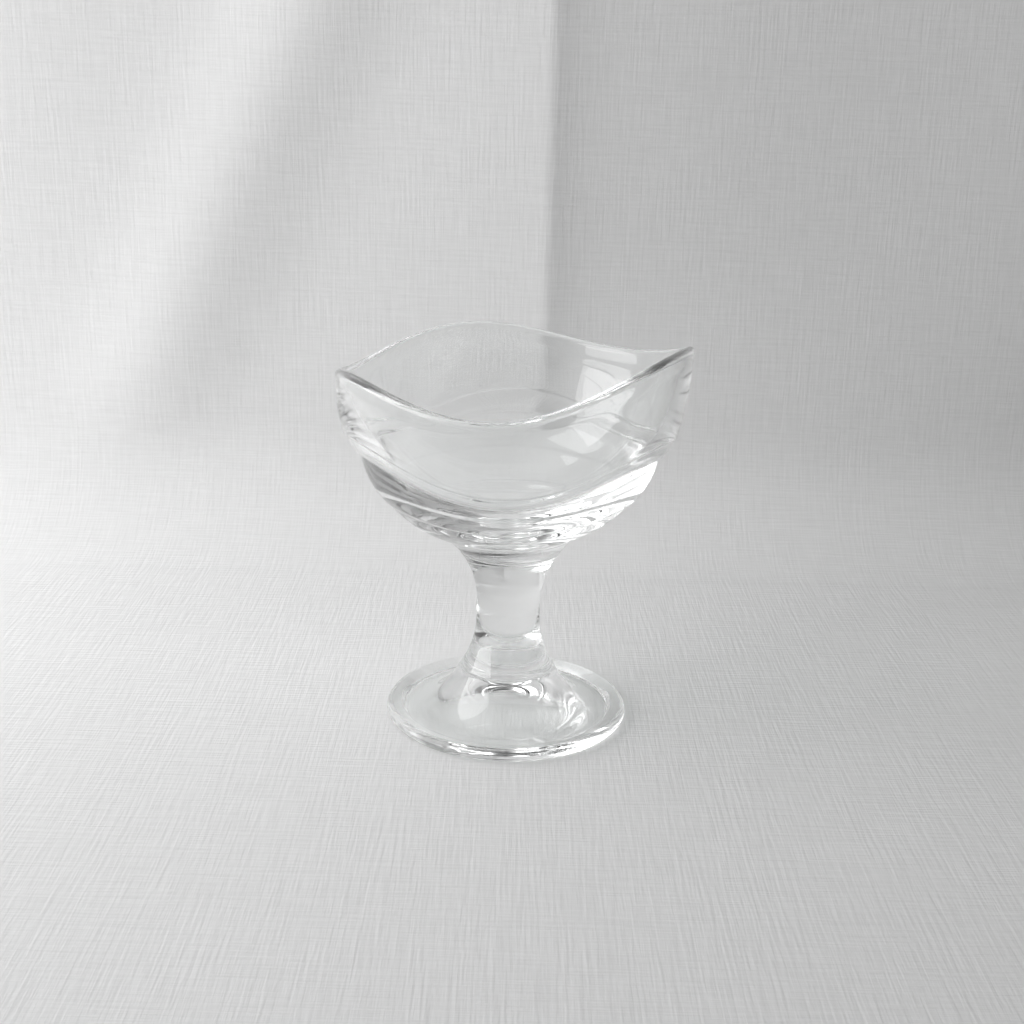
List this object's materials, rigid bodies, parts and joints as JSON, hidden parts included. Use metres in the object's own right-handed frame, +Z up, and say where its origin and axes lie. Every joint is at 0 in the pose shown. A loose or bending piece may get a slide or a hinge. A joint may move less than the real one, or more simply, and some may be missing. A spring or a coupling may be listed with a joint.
{
  "type": "parfait glass",
  "caption": "Footed parfait glass of clear pressed glass with a wide stepped bowl, a wavy rounded rim, a short solid stem and a round foot",
  "frame": {"origin": "centre of the bottom of the bounding box, on the plane the glass stands on, at the axis of the foot", "axes": "+Z up along the glass's axis, the longest extent; -Y toward the viewer of the picture; +X to that viewer's right, where the rim stands highest"},
  "size_m": [0.1064, 0.1064, 0.1219],
  "materials": {
    "foot_glass": "gloss",
    "stem_glass": "gloss",
    "bowl_glass": "gloss"
  },
  "bodies": {
    "root": {"foot": "foot_glass", "stem": "stem_glass", "bowl": "bowl_glass"}
  },
  "joints": []
}
